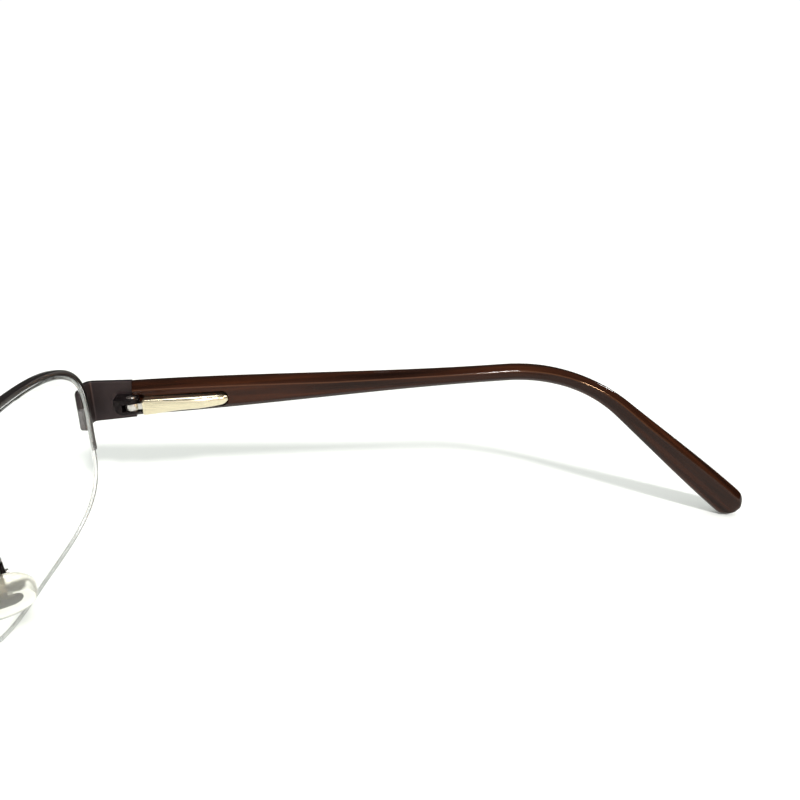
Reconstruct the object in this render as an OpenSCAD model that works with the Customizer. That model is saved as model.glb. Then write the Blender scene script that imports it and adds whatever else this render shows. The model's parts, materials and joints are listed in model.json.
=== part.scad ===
// Half rim eyeglasses, in millimetres.
// Designed square to the lenses, then tipped so that the lens bottoms and temple tips stand on z = 0.
// Every side part is drawn for the wearer's left (+X) and mirrored for the right.

/* [Lenses] */
// Lens width, the first number of the frame's size
lens_w = 53; // [51:0.5:55]
// Gap between the two lenses, the second number of the frame's size
lens_gap = 18; // [17:0.5:20]
// Lens height
lens_h = 30.4; // [29:0.2:32]
// How far the widest line of the lens lies below its middle
lens_drop = 1.5; // [1.2:0.1:2]
// Radius of the lens's front surface
lens_radius = 104; // [100:1:112]
// Lens thickness
lens_t = 1.6; // [1.5:0.1:1.8]
// Turn of each lens about the vertical, towards its temple
wrap = 3.5; // [3:0.1:4]

/* [Front] */
// Width of the upper rim wire, seen from the front
rim_w = 1; // [0.95:0.05:1.3]
// Depth of the upper rim wire, front to back
rim_depth = 1.5; // [1.5:0.05:1.8]
// Where the rim wire starts at the temple side, as an angle about the lens
rim_start = -3; // [-6:1:2]
// Where the rim wire ends at the nose side
rim_end = 184; // [178:1:190]
// Diameter of the bridge bar
bridge_d = 1.9; // [1.6:0.1:2.2]
// Height of the bridge's ends above the lens middle
bridge_z = 7.6; // [5:0.2:9]
// Rise of the bridge between its ends
bridge_rise = 2.6; // [1.6:0.1:4]

/* [End pieces and hinges] */
// Distance of the end piece's inner face from the middle of the frame
plate_x = 66.5; // [66.5:0.1:67.2]
// Thickness of the end piece strap
plate_t = 1.2; // [1:0.1:1.4]
// Height of the end piece strap
plate_h = 7.1; // [6.6:0.1:7.4]
// Height of the strap where it passes the rim
plate_front_h = 7.7; // [7.2:0.1:8]
// Distance of the hinge screw behind the lens front
hinge_y = 13.7; // [13.4:0.1:14.4]
// Radius of the hinge screw's shank
screw_r = 0.6; // [0.5:0.05:0.65]
// Length of the spring casing
casing_l = 15.2; // [15:0.1:16]

/* [Temples] */
// Temple length along its middle line, screw to tip
temple_l = 135; // [130:1:140]
// Temple thickness
temple_t = 3; // [2.9:0.1:3.2]
// Temple height at the hinge
temple_h = 6.5; // [6.3:0.05:6.8]
// Temple height ahead of the bend
waist_h = 3.1; // [3:0.1:4]
// Height of the tip
tip_h = 6.4; // [5.6:0.1:7.2]
// Distance from the screw to the start of the bend
bend_start = 71; // [69:1:78]
// Radius of the bend behind the ear
bend_r = 36; // [30:0.5:40]
// Angle of the bend
bend_angle = 42.5; // [38:0.5:46]

/* [Nose pads] */
// Length of a nose pad
pad_l = 9.4; // [9:0.2:11]
// Width of a nose pad
pad_w = 8; // [7.4:0.2:8.4]
// Thickness of a nose pad
pad_t = 2.4; // [2.4:0.1:2.8]
// Lean of the pads towards each other at the top
pad_lean = 34; // [30:1:38]
// Spread of the pads towards the face
pad_spread = 30; // [26:1:34]

/* [Hidden] */
$fn = 48;

left = 1;
right = -1;
eps = 0.01;
touch = 0.02;                 // gap between faces that sit against each other
run = 0.05;                   // radial clearance of a running fit

// Lens outline: four superellipse quarters that meet on the lens's widest line
half_w = lens_w / 2;
lens_x = lens_gap / 2 + half_w;
up_h = lens_h / 2 + lens_drop;
low_h = lens_h / 2 - lens_drop;
power_top_temple = 4;
power_top_nose = 2.4;
power_low_nose = 2.2;
power_low_temple = 2.75;
outline_steps = 144;

// Groove round the lens edge, and what lies in it
groove_front = 0.5;
groove_back = 1.1;
groove_depth = 0.5;
liner_gap = 0.07;
rim_lip = 0.1;                // how far the rim stands in front of the lens
sphere_fn = 220;

// Hinge stack: a thin ear below the tongue and a thicker one above it
hinge_z = 4.4;
hinge_x = plate_x - 2.2;
tongue_h = 1.1;
washer_gap = 0.1;
washer_t = 0.06;
low_ear = 0.6;
top_ear = 1.05;
stack_low = hinge_z - tongue_h / 2 - washer_gap - low_ear;
stack_top = hinge_z + tongue_h / 2 + washer_gap + top_ear;
barrel_r = 1.45;
fork_front = hinge_y - 3;
fork_web = 1.4;

// Spring casing and its bore, both along Y
casing_front = hinge_y + 2.1;
casing_end = casing_front + casing_l;
casing_in = hinge_x - 1.8;
casing_out = plate_x - 0.4;
casing_h = 2.9;
bore_r = 0.95;
bore_front = casing_front + 0.95;
bore_end = casing_end - 3.1;
neck_w = 1.3;
neck_end = bore_front + 0.45;
rod_r = 0.4;
bush_front = neck_end + 0.2;
bush_l = 0.9;
retainer_l = 0.9;
rod_end = bore_end - 1;

// Temple solid: outer face just proud of the end piece
temple_out = plate_x + plate_t + 0.2;
temple_in = temple_out - temple_t;
temple_z = 5.33;
temple_front = 0.1;
edge_round = 0.9;
taper_end = 67.5;
flare_start = 83;
tip_r = tip_h / 2;
tip_s = temple_l - tip_r;     // middle of the rounded end, along the middle line
bend_l = bend_r * bend_angle * PI / 180;
pocket_out = casing_out + touch;
pocket_h = 3.04;
wire_h = 1.3;
wire_t = 0.9;
wire_in = pocket_out + 0.03;
wire_start = 2.4;
wire_end = temple_l - 12.5;

// Nose pads
pad_mid = [10.6, 8, -0.9];
pad_axis_x = 1.6;
pad_screw_r = 0.48;
box_front = 0.5;
box_back = 3.1;
arm_r = 0.45;
arm_start = [8.55, 3.45, 1.2];
arm_rise = 50;                // climb of the arm's legs, above straight back
arm_leg = 2.6;
arm_corner = 1.5;

// Rest tilt: lens bottoms and tips both on the table
tip_c = temple_point(tip_s);
lens_foot_y = lens_front(0, lens_h / 2);
foot_run = tip_c.x - lens_foot_y;
foot_drop = -lens_h / 2 - tip_c.y;
tilt = asin(tip_r / norm([foot_run, foot_drop])) + atan(foot_drop / foot_run);
tip_rear = tip_c.x * cos(tilt) - tip_c.y * sin(tilt) + tip_r;
bridge_lean = 20;
bridge_crest = [bridge_y() - bridge_rise * sin(bridge_lean), bridge_z + bridge_rise * cos(bridge_lean)];
front_edge = bridge_crest.x * cos(tilt) - bridge_crest.y * sin(tilt) - bridge_d / 2;
shift_y = -(tip_rear + front_edge) / 2;
shift_z = lens_h / 2 * cos(tilt) - lens_foot_y * sin(tilt);

// ---------- outline and path formulas ----------

function turn(a) = a < 0 ? a + 360 : a >= 360 ? a - 360 : a;
function corner_power(a) =
    a < 90 ? power_top_temple : a < 180 ? power_top_nose : a < 270 ? power_low_nose : power_low_temple;
function edge_reach(a) =
    let (p = corner_power(turn(a)), h = sin(a) >= 0 ? up_h : low_h)
    pow(pow(abs(cos(a)) / half_w, p) + pow(abs(sin(a)) / h, p), -1 / p);
function edge_point(a) = [edge_reach(a) * cos(a), edge_reach(a) * sin(a) - lens_drop];
function edge_normal(a) =
    let (d = edge_point(a + 0.5) - edge_point(a - 0.5))
    [d.y, -d.x] / norm(d);
function edge_at(a, off) = edge_point(a) + off * edge_normal(a);
function edge_row(a0, a1, off, n) = [for (i = [0:n]) edge_at(a0 + (a1 - a0) * i / n, off)];
function arc(c, r, a0, a1, n) = [for (i = [0:n]) let (a = a0 + (a1 - a0) * i / n) c + r * [cos(a), sin(a)]];
function back_to_front(pts) = [for (i = [len(pts) - 1:-1:0]) pts[i]];
function edge_band(a0, a1, off0, off1, n) =
    concat(edge_row(a0, a1, off1, n), back_to_front(edge_row(a0, a1, off0, n)));

// Depth of the lens's front surface at a point of the outline plane
function lens_front(u, v) = lens_radius - sqrt(pow(lens_radius, 2) - u * u - v * v);

// Where the rim's middle line passes the bridge's height on the nose side
function bridge_a() = 180 - asin((bridge_z + lens_drop) / edge_reach(155));
function bridge_u() = edge_at(bridge_a(), rim_w / 2).x;
function bridge_y() =
    bridge_u() * sin(wrap) + (lens_front(bridge_u(), bridge_z) + rim_depth / 2) * cos(wrap);
function bridge_x() = lens_x + bridge_u() * cos(wrap) - lens_front(bridge_u(), bridge_z) * sin(wrap);

// Direction from the nose to the pad's back
function pad_outward() =
    [cos(pad_lean) * cos(pad_spread), -cos(pad_lean) * sin(pad_spread), sin(pad_lean)];

// Smooth step from 0 to 1
function ease(t) = let (k = min(max(t, 0), 1)) k * k * (3 - 2 * k);
function temple_height(s) =
    waist_h + (temple_h - waist_h) * (1 - ease(s / taper_end))
    + (tip_h - waist_h) * ease((s - flare_start) / (tip_s - flare_start));
// Heading of the middle line below the horizontal, at distance s from the screw
function temple_heading(s) = bend_angle * min(max((s - bend_start) / bend_l, 0), 1);
function temple_point(s) =
    let (h = temple_heading(s), past = max(s - bend_start - bend_l, 0))
    [hinge_y + min(s, bend_start) + bend_r * sin(h) + past * cos(h),
     temple_z - bend_r * (1 - cos(h)) - past * sin(h)];
function temple_side(s, off) =
    temple_point(s) + off * [sin(temple_heading(s)), cos(temple_heading(s))];

// Distances along the temple at which its outline has points
function stations(s0, s1) = concat(
    [for (s = [s0:6:bend_start - 3]) s],
    [for (i = [0:12]) bend_start + bend_l * i / 12],
    [for (s = [bend_start + bend_l + 3.5:3.5:s1 - 2]) s],
    [s1]);

module temple_outline(inset) {
    row = stations(temple_front, tip_s);
    cap_c = temple_point(tip_s);
    cap_a = -bend_angle;
    polygon(concat(
        [for (s = row) temple_side(s, temple_height(s) / 2 - inset)],
        [for (a = [80:-10:-80]) cap_c + (tip_r - inset) * [cos(cap_a + a), sin(cap_a + a)]],
        [for (s = back_to_front(row)) temple_side(s, inset - temple_height(s) / 2)]));
}

module ribbon_outline(s0, s1, h) {
    row = stations(s0, s1);
    polygon(concat(
        [for (s = row) temple_side(s, h / 2)],
        [for (s = back_to_front(row)) temple_side(s, -h / 2)]));
}

// ---------- placing ----------

module placed(side) {
    translate([0, shift_y, shift_z])
        rotate([tilt, 0, 0])
            mirror([side < 0 ? 1 : 0, 0, 0])
                children();
}

module in_lens_frame() {
    translate([lens_x, 0, 0])
        rotate([0, 0, wrap])
            children();
}

// Pad frame: -X faces the nose, Z runs along the pad, and X = 0 is the pad's back
module in_pad_frame() {
    translate(pad_mid + pad_t / 2 * pad_outward())
        rotate([0, -pad_lean, -pad_spread])
            children();
}

// A flat shape drawn in Y and Z, given a thickness from x0 to x1
module across(x0, x1) {
    translate([x0, 0, 0])
        rotate([90, 0, 90])
            linear_extrude(x1 - x0)
                children();
}

// A flat shape drawn in the lens plane, cut from a spherical layer behind the lens front
module lens_layer(front, back) {
    reach = 9;
    intersection() {
        translate([0, reach, 0])
            rotate([90, 0, 0])
                linear_extrude(reach + 1)
                    children();
        translate([0, lens_radius, 0])
            difference() {
                sphere(lens_radius - front, $fn = sphere_fn);
                sphere(lens_radius - back, $fn = sphere_fn);
            }
    }
}

module box_between(a, b) {
    translate(a)
        cube(b - a);
}

module rod_along_y(x, z, y0, y1, r) {
    translate([x, y1, z])
        rotate([90, 0, 0])
            cylinder(h = y1 - y0, r = r);
}

// ---------- front ----------

// Arched bar, its ends shaped to sit in the outer walls of the rims
module bridge() {
    bar_r = (pow(bridge_x(), 2) + pow(bridge_rise, 2)) / (2 * bridge_rise);
    half_a = asin(bridge_x() / bar_r);
    seat = 0.6;
    color([0.24, 0.2, 0.2])
        difference() {
            translate([0, bridge_y(), bridge_z])
                rotate([bridge_lean, 0, 0])
                    translate([0, 0, bridge_rise - bar_r])
                        rotate([90, 0, 0])
                            rotate([0, 0, 90 - half_a])
                                rotate_extrude(angle = 2 * half_a, $fn = 160)
                                    translate([bar_r, 0])
                                        circle(d = bridge_d);
            for (side = [0, 1])
                mirror([side, 0, 0])
                    in_lens_frame()
                        translate([0, 6, 0])
                            rotate([90, 0, 0])
                                linear_extrude(12)
                                    polygon(concat([[0, 0]], edge_row(125, 175, seat, 10)));
        }
}

module eyewire() {
    color([0.24, 0.2, 0.2])
        in_lens_frame()
            difference() {
                lens_layer(-rim_lip, rim_depth - rim_lip)
                    polygon(edge_band(rim_start, rim_end, touch, rim_w, 90));
                lens_layer(groove_front - touch, groove_back + touch)
                    polygon(edge_band(rim_start - 1, rim_end + 1, -1, groove_depth, 92));
            }
}

// Clear band that seats the lens in the rim wire
module rim_liner() {
    color([0.85, 0.85, 0.82, 0.8])
        in_lens_frame()
            lens_layer(groove_front + liner_gap, groove_back - liner_gap)
                polygon(edge_band(rim_start + 4, rim_end - 4, liner_gap - groove_depth,
                    groove_depth - liner_gap, 88));
}

module lens() {
    color([0.9, 0.95, 0.95, 0.25])
        in_lens_frame()
            difference() {
                lens_layer(0, lens_t)
                    polygon(edge_row(0, 360 - 360 / outline_steps, 0, outline_steps - 1));
                lens_layer(groove_front, groove_back)
                    difference() {
                        polygon(edge_row(0, 357, 1, 119));
                        polygon(edge_row(0, 360 - 360 / outline_steps, -groove_depth,
                            outline_steps - 1));
                    }
            }
}

// Nylon cord that holds the lens from below, its ends tucked into the rim's channel
module lens_cord() {
    color([0.95, 0.95, 0.93, 0.6])
        in_lens_frame()
            lens_layer(groove_front + liner_gap, groove_back - liner_gap)
                polygon(edge_band(rim_end - 3, rim_start + 363, liner_gap - groove_depth,
                    liner_gap, 84));
}

// ---------- end piece and hinge ----------

// Strap bent from the front of the rim to the hinge, tapering and with its nose end rounded
module end_piece() {
    bend_in = 0.4;
    leg_tilt = 14;
    leg_l = 4.94;
    corner = 0.7;
    plate_z = 4.95;
    bend_c = [plate_x - bend_in, 6.53];
    along = [cos(leg_tilt), sin(leg_tilt)];
    outward = [along.y, -along.x];
    leg_end = bend_c - leg_l * along;
    bend_out = bend_in + plate_t;
    color([0.22, 0.17, 0.17])
        difference() {
            intersection() {
                translate([0, 0, plate_z - plate_front_h / 2])
                    linear_extrude(plate_front_h)
                        polygon(concat(
                            [leg_end + bend_in * outward, leg_end + bend_out * outward],
                            arc(bend_c, bend_out, leg_tilt - 90, 0, 10),
                            [[plate_x + plate_t, hinge_y], [plate_x, hinge_y]],
                            arc(bend_c, bend_in, 0, leg_tilt - 90, 10)));
                across(leg_end.x - 2, plate_x + 3)
                    polygon([[0, plate_z - plate_front_h / 2], [bend_c.y, plate_z - plate_front_h / 2],
                        [hinge_y, plate_z - plate_h / 2], [hinge_y, plate_z + plate_h / 2],
                        [bend_c.y, plate_z + plate_front_h / 2], [0, plate_z + plate_front_h / 2]]);
            }
            for (side = [-1, 1])
                translate([leg_end.x, leg_end.y, plate_z + side * (plate_front_h / 2 - corner)])
                    rotate([90, 0, leg_tilt])
                        corner_cutter(corner, side);
        }
}

// Bar that rounds one corner of the strap's end
module corner_cutter(r, side) {
    difference() {
        translate([-1, side > 0 ? 0 : -r - 1, -5])
            cube([r + 1, r + 1, 10]);
        translate([r, 0, -6])
            cylinder(h = 12, r = r);
    }
}

module hinge_fork() {
    out = plate_x - touch;
    corner = 1.4;
    head_r = screw_r + 0.4;
    color([0.16, 0.13, 0.13])
        difference() {
            union() {
                across(hinge_x - barrel_r, out)
                    polygon(concat(
                        arc([fork_front + corner, stack_low + corner], corner, 180, 270, 6),
                        [[hinge_y, stack_low], [hinge_y, stack_top], [fork_front, stack_top]]));
                translate([hinge_x, hinge_y, stack_low])
                    cylinder(h = stack_top - stack_low, r = barrel_r);
            }
            // slot for the tongue
            box_between([hinge_x - 3, fork_front + fork_web, stack_low + low_ear],
                [out + 1, hinge_y + 3, stack_top - top_ear]);
            translate([hinge_x, hinge_y, stack_low - 1])
                cylinder(h = stack_top - stack_low + 2, r = screw_r + run);
            // seat for the screw's head
            translate([hinge_x, hinge_y, stack_top - 0.37])
                cylinder(h = 1, r = head_r);
        }
}

module hinge_screw() {
    head_h = 0.35;
    color([0.75, 0.73, 0.7])
        translate([hinge_x, hinge_y, 0])
            difference() {
                union() {
                    translate([0, 0, stack_top - head_h])
                        cylinder(h = head_h, r = screw_r + 0.35);
                    translate([0, 0, stack_low])
                        cylinder(h = stack_top - stack_low - head_h + eps, r = screw_r);
                }
                translate([-2, -0.13, stack_top - 0.2])
                    cube([4, 0.26, 1]);
            }
}

module hinge_washers() {
    color([0.8, 0.8, 0.78])
        for (side = [-1, 1])
            translate([hinge_x, hinge_y, hinge_z + side * (tongue_h + washer_gap) / 2 - washer_t / 2])
                difference() {
                    cylinder(h = washer_t, r = barrel_r - 0.2);
                    translate([0, 0, -1])
                        cylinder(h = 2, r = screw_r + run);
                }
}

// Flat eye on the screw, a neck into the casing and a rod that carries the spring
module hinge_tongue() {
    color([0.72, 0.7, 0.68])
        difference() {
            union() {
                translate([hinge_x, hinge_y, hinge_z - tongue_h / 2])
                    cylinder(h = tongue_h, r = barrel_r - 0.15);
                box_between([hinge_x - neck_w / 2, hinge_y, hinge_z - tongue_h / 2],
                    [hinge_x + neck_w / 2, neck_end, hinge_z + tongue_h / 2]);
                rod_along_y(hinge_x, hinge_z, neck_end - eps, rod_end, rod_r);
            }
            translate([hinge_x, hinge_y, hinge_z - 2])
                cylinder(h = 4, r = screw_r + run);
        }
}

module spring_retainer() {
    color([0.65, 0.6, 0.45])
        difference() {
            rod_along_y(hinge_x, hinge_z, rod_end - retainer_l, rod_end, bore_r - 0.12);
            rod_along_y(hinge_x, hinge_z, rod_end - 2, rod_end + 1, rod_r + touch);
        }
}

module spring_bush() {
    color([0.65, 0.6, 0.45])
        difference() {
            rod_along_y(hinge_x, hinge_z, bush_front, bush_front + bush_l, bore_r - touch);
            rod_along_y(hinge_x, hinge_z, bush_front - 1, bush_front + 2, rod_r + run);
        }
}

// Helix of round wire between the bush and the retainer
module hinge_spring() {
    wire_r = 0.11;
    coil_r = 0.67;
    turns = 7;
    per_turn = 12;
    around = 6;
    start = bush_front + bush_l + wire_r + touch;
    end = rod_end - retainer_l - wire_r - touch;
    steps = turns * per_turn;
    rings = [for (i = [0:steps])
        let (a = 360 * i / per_turn, y = start + (end - start) * i / steps)
        for (j = [0:around - 1])
            let (b = 360 * j / around, r = coil_r + wire_r * cos(b))
            [r * cos(a), y + wire_r * sin(b), r * sin(a)]];
    walls = [for (i = [0:steps - 1]) for (j = [0:around - 1]) for (half = [0, 1])
        let (k = (j + 1) % around, next = i + 1)
        half == 0 ? [i * around + j, i * around + k, next * around + k]
            : [i * around + j, next * around + k, next * around + j]];
    first = [for (j = [around - 1:-1:0]) j];
    last = [for (j = [0:around - 1]) steps * around + j];
    color([0.7, 0.7, 0.72])
        translate([hinge_x, 0, hinge_z])
            polyhedron(points = rings, faces = concat(walls, [first, last]));
}

module spring_casing() {
    half = casing_h / 2;
    rear = 1.15;
    color([0.8, 0.74, 0.5])
        difference() {
            intersection() {
                across(casing_in, casing_out)
                    polygon([[casing_front, hinge_z - half], [bore_end, hinge_z - half + 0.25],
                        [casing_end - 1, hinge_z - rear], [casing_end - 0.3, hinge_z - rear + 0.4],
                        [casing_end, hinge_z - 0.2], [casing_end, hinge_z + 0.2],
                        [casing_end - 0.3, hinge_z + rear - 0.4], [casing_end - 1, hinge_z + rear],
                        [bore_end, hinge_z + half - 0.25], [casing_front, hinge_z + half]]);
                translate([0, 0, hinge_z - half])
                    linear_extrude(casing_h)
                        polygon([[casing_in, casing_front], [casing_in, bore_end - 2],
                            [casing_in + 0.35, bore_end], [casing_in + 1.1, casing_end - 1],
                            [casing_in + 2, casing_end], [casing_out, casing_end],
                            [casing_out, casing_front]]);
                casing_round();
            }
            box_between([hinge_x - neck_w / 2 - 0.07, casing_front - 1, hinge_z - tongue_h / 2 - 0.07],
                [hinge_x + neck_w / 2 + 0.07, bore_front + eps, hinge_z + tongue_h / 2 + 0.07]);
            rod_along_y(hinge_x, hinge_z, bore_front, bore_end, bore_r);
        }
}

// Bar with rounded inner corners that trims the casing's long edges
module casing_round() {
    corner = 0.55;
    half = casing_h / 2;
    translate([0, casing_end + 1, 0])
        rotate([90, 0, 0])
            linear_extrude(casing_l + 2) {
                translate([casing_in + corner, hinge_z - half])
                    square([casing_out - casing_in, casing_h]);
                translate([casing_in, hinge_z - half + corner])
                    square([corner * 2, casing_h - 2 * corner]);
                for (side = [-1, 1])
                    translate([casing_in + corner, hinge_z + side * (half - corner)])
                        circle(r = corner);
            }
}

// ---------- temple ----------

module temple() {
    layers = 3;
    color([0.27, 0.13, 0.08])
        difference() {
            union()
                for (i = [0:layers]) {
                    a = 90 * i / layers;
                    step_x = edge_round * (1 - cos(a));
                    across(temple_in + step_x, temple_out - step_x)
                        temple_outline(edge_round * (1 - sin(a)));
                }
            // pocket for the casing, deeper upwards at the hinge's barrel
            box_between([temple_in - 1, hinge_y - 1, hinge_z - pocket_h / 2],
                [pocket_out, casing_end + 0.15, hinge_z + pocket_h / 2]);
            box_between([temple_in - 2, hinge_y - 2, hinge_z],
                [pocket_out, casing_front + 0.1, stack_top + 0.15]);
            // channel for the core wire
            across(pocket_out - eps, wire_in + wire_t + touch)
                ribbon_outline(wire_start - 0.1, wire_end + 0.1, wire_h + 2 * touch);
        }
}

module core_wire() {
    color([0.6, 0.55, 0.5])
        across(wire_in, wire_in + wire_t)
            ribbon_outline(wire_start, wire_end, wire_h);
}

// ---------- nose pads ----------

module pad_outline(inset) {
    polygon([for (a = [0:7.5:352.5])
        let (c = cos(a), s = sin(a), p = 2 / 2.3)
        [sign(c) * pow(abs(c), p) * (pad_w / 2 - inset), sign(s) * pow(abs(s), p) * (pad_l / 2 - inset)]]);
}

module nose_pad() {
    layers = 3;
    soft = 0.9;
    color([0.96, 0.94, 0.86, 0.6])
        in_pad_frame()
            difference() {
                union()
                    for (i = [0:layers]) {
                        a = 90 * i / layers;
                        step_x = soft * (1 - cos(a));
                        across(step_x - pad_t, -step_x / 2)
                            pad_outline(soft * (1 - sin(a)));
                    }
                lug_shape(touch);
            }
}

// Plate inside the pad with a stem that reaches the screw
module lug_shape(grow) {
    box_between([-1.45 - grow, -2.1 - grow, -1.1 - grow], [-0.95 + grow, 2.1 + grow, 1.1 + grow]);
    box_between([-1.2, -0.5 - grow, -0.75 - grow], [pad_axis_x, 0.5 + grow, 0.75 + grow]);
}

module pad_lug() {
    color([0.7, 0.68, 0.64])
        in_pad_frame()
            difference() {
                union() {
                    lug_shape(0);
                    rod_along_y(pad_axis_x, 0, -0.5, 0.5, 0.75);
                }
                rod_along_y(pad_axis_x, 0, -2, 2, pad_screw_r + 0.04);
            }
}

module pad_box() {
    color([0.2, 0.17, 0.17])
        in_pad_frame()
            difference() {
                box_between([box_front, -1.1, -1.2], [box_back, 1.1, 1.2]);
                box_between([box_front - 1, -0.58, -2], [box_back - 0.5, 0.58, 2]);
                rod_along_y(pad_axis_x, 0, -2, 2, pad_screw_r + 0.03);
            }
}

module pad_screw() {
    color([0.75, 0.73, 0.7])
        in_pad_frame()
            difference() {
                union() {
                    rod_along_y(pad_axis_x, 0, -1.3, 1.1 + touch + eps, pad_screw_r);
                    rod_along_y(pad_axis_x, 0, 1.1 + touch, 1.5, pad_screw_r + 0.37);
                }
                box_between([pad_axis_x - 2, 1.3, -0.11], [pad_axis_x + 2, 2, 0.11]);
            }
}

// Bent wire from the back of the rim, up and over to the back of the pad box
module pad_arm() {
    span = pad_mid + (pad_t / 2 + box_back) * pad_outward() - arm_start;
    along = span.y * cos(arm_rise) + span.z * sin(arm_rise);
    down = span.y * sin(arm_rise) - span.z * cos(arm_rise);
    width = norm([span.x, down]);
    near = [arm_corner, arm_leg];
    far = [width - arm_corner, arm_leg];
    color([0.2, 0.17, 0.17])
        translate(arm_start)
            rotate([arm_rise, 0, 0])
                rotate([0, atan2(down, span.x), 0])
                    translate([0, 0, -arm_r])
                        linear_extrude(2 * arm_r)
                            polygon(concat(
                                [[-arm_r, 0]],
                                arc(near, arm_corner + arm_r, 180, 90, 8),
                                arc(far, arm_corner + arm_r, 90, 0, 8),
                                [[width + arm_r, along], [width - arm_r, along]],
                                arc(far, arm_corner - arm_r, 0, 90, 8),
                                arc(near, arm_corner - arm_r, 90, 180, 8),
                                [[arm_r, 0]]));
}

// ---------- parts ----------

placed(left) bridge();

placed(left) eyewire();  // left_eyewire
placed(left) rim_liner();  // left_rim_liner
placed(left) lens();  // left_lens
placed(left) lens_cord();  // left_lens_cord
placed(left) end_piece();  // left_end_piece
placed(left) hinge_fork();  // left_hinge_fork
placed(left) hinge_screw();  // left_hinge_screw
placed(left) hinge_washers();  // left_hinge_washers
placed(left) hinge_tongue();  // left_hinge_tongue
placed(left) spring_retainer();  // left_spring_retainer
placed(left) hinge_spring();  // left_hinge_spring
placed(left) spring_bush();  // left_spring_bush
placed(left) spring_casing();  // left_spring_casing
placed(left) temple();  // left_temple
placed(left) core_wire();  // left_core_wire
placed(left) pad_arm();  // left_pad_arm
placed(left) pad_box();  // left_pad_box
placed(left) pad_screw();  // left_pad_screw
placed(left) pad_lug();  // left_pad_lug
placed(left) nose_pad();  // left_nose_pad

placed(right) eyewire();  // right_eyewire
placed(right) rim_liner();  // right_rim_liner
placed(right) lens();  // right_lens
placed(right) lens_cord();  // right_lens_cord
placed(right) end_piece();  // right_end_piece
placed(right) hinge_fork();  // right_hinge_fork
placed(right) hinge_screw();  // right_hinge_screw
placed(right) hinge_washers();  // right_hinge_washers
placed(right) hinge_tongue();  // right_hinge_tongue
placed(right) spring_retainer();  // right_spring_retainer
placed(right) hinge_spring();  // right_hinge_spring
placed(right) spring_bush();  // right_spring_bush
placed(right) spring_casing();  // right_spring_casing
placed(right) temple();  // right_temple
placed(right) core_wire();  // right_core_wire
placed(right) pad_arm();  // right_pad_arm
placed(right) pad_box();  // right_pad_box
placed(right) pad_screw();  // right_pad_screw
placed(right) pad_lug();  // right_pad_lug
placed(right) nose_pad();  // right_nose_pad
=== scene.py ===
import json
import math

import bmesh
import bpy
from mathutils import Matrix, Vector


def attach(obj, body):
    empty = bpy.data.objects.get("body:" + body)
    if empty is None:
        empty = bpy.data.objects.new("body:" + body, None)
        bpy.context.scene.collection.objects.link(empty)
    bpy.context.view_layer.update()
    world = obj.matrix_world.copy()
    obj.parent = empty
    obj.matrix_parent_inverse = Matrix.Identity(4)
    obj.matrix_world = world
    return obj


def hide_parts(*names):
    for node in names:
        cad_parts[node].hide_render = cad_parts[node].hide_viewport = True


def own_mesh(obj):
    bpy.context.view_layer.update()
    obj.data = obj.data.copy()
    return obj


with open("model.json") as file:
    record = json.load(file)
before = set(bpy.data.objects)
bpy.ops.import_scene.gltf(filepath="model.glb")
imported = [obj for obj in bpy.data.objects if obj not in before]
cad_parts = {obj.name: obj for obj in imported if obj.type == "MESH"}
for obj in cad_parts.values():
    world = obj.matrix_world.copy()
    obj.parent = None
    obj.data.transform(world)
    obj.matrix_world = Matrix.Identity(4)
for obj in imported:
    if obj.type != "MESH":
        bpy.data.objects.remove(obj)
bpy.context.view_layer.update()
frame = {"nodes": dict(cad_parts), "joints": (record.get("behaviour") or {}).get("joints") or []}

# Half rim eyeglasses. Lengths are in millimetres in the wearing frame: X = 0 between the lenses,
# Y = 0 at the lens fronts, Z = 0 at the lens middles. place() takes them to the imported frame.
MM = 0.001
SIDES = {"left": 1, "right": -1}

# ---------- driving sizes ----------

LENS_W = 53.0
LENS_GAP = 18.0
LENS_H = 30.4
LENS_DROP = 1.5
LENS_RADIUS = 104.0
LENS_T = 1.6
WRAP = math.radians(3.5)
POWERS = (4.0, 2.4, 2.2, 2.75)        # outline quarters: top temple, top nose, low nose, low temple

RIM_W = 1.0
RIM_FRONT = -0.1
RIM_BACK = 1.4
RIM_START = -3
RIM_END = 184
GROOVE = (0.5, 1.1)                   # front and back of the cord's groove, behind the lens front
CORD_R = 0.25
BRIDGE_Z = 7.6
BRIDGE_RISE = 2.6
BRIDGE_LEAN = math.radians(20)
BRIDGE_R = 0.86

PLATE_X = 66.5
PLATE_T = 1.2
PLATE_H = 7.1
PLATE_FRONT_H = 7.7
PLATE_Z = 4.95
PLATE_BEND_IN = 0.4
PLATE_BEND_Y = 6.53
PLATE_LEG_L = 4.94
PLATE_LEG_TILT = math.radians(14)
HINGE = Vector((64.3, 13.7, 4.4))

TEMPLE_L = 135.0
TEMPLE_T = 3.0
TEMPLE_OUT = PLATE_X + PLATE_T + 0.2
TEMPLE_IN = TEMPLE_OUT - TEMPLE_T
TEMPLE_Z = 5.33
TEMPLE_H = 6.5
WAIST_H = 3.1
TIP_H = 6.4
BEND_START = 71.0
BEND_R = 36.0
BEND_A = math.radians(42.5)
BEND_L = BEND_R * BEND_A
TIP_S = TEMPLE_L - TIP_H / 2
TAPER_END = 67.5
FLARE_START = 83.0

CASING_FRONT = 15.8
CASING_END = 31.0
CASING_IN = 62.5
CASING_OUT = 66.1
CASING_H = 2.9
BORE = (16.75, 27.9)
BORE_R = 0.95
CORE_X = 66.15
CORE_T = 0.9
CORE_H = 1.3

PAD_MID = Vector((10.6, 8, -0.9))
PAD_L = 9.4
PAD_W = 8.0
PAD_T = 2.4
PAD_LEAN = math.radians(34)
PAD_SPREAD = math.radians(30)
PAD_BOX_BACK = 3.1
PAD_ARM_START = Vector((8.55, 3.45, 1.2))
PAD_ARM_RISE = math.radians(50)
PAD_ARM_R = 0.45


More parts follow.
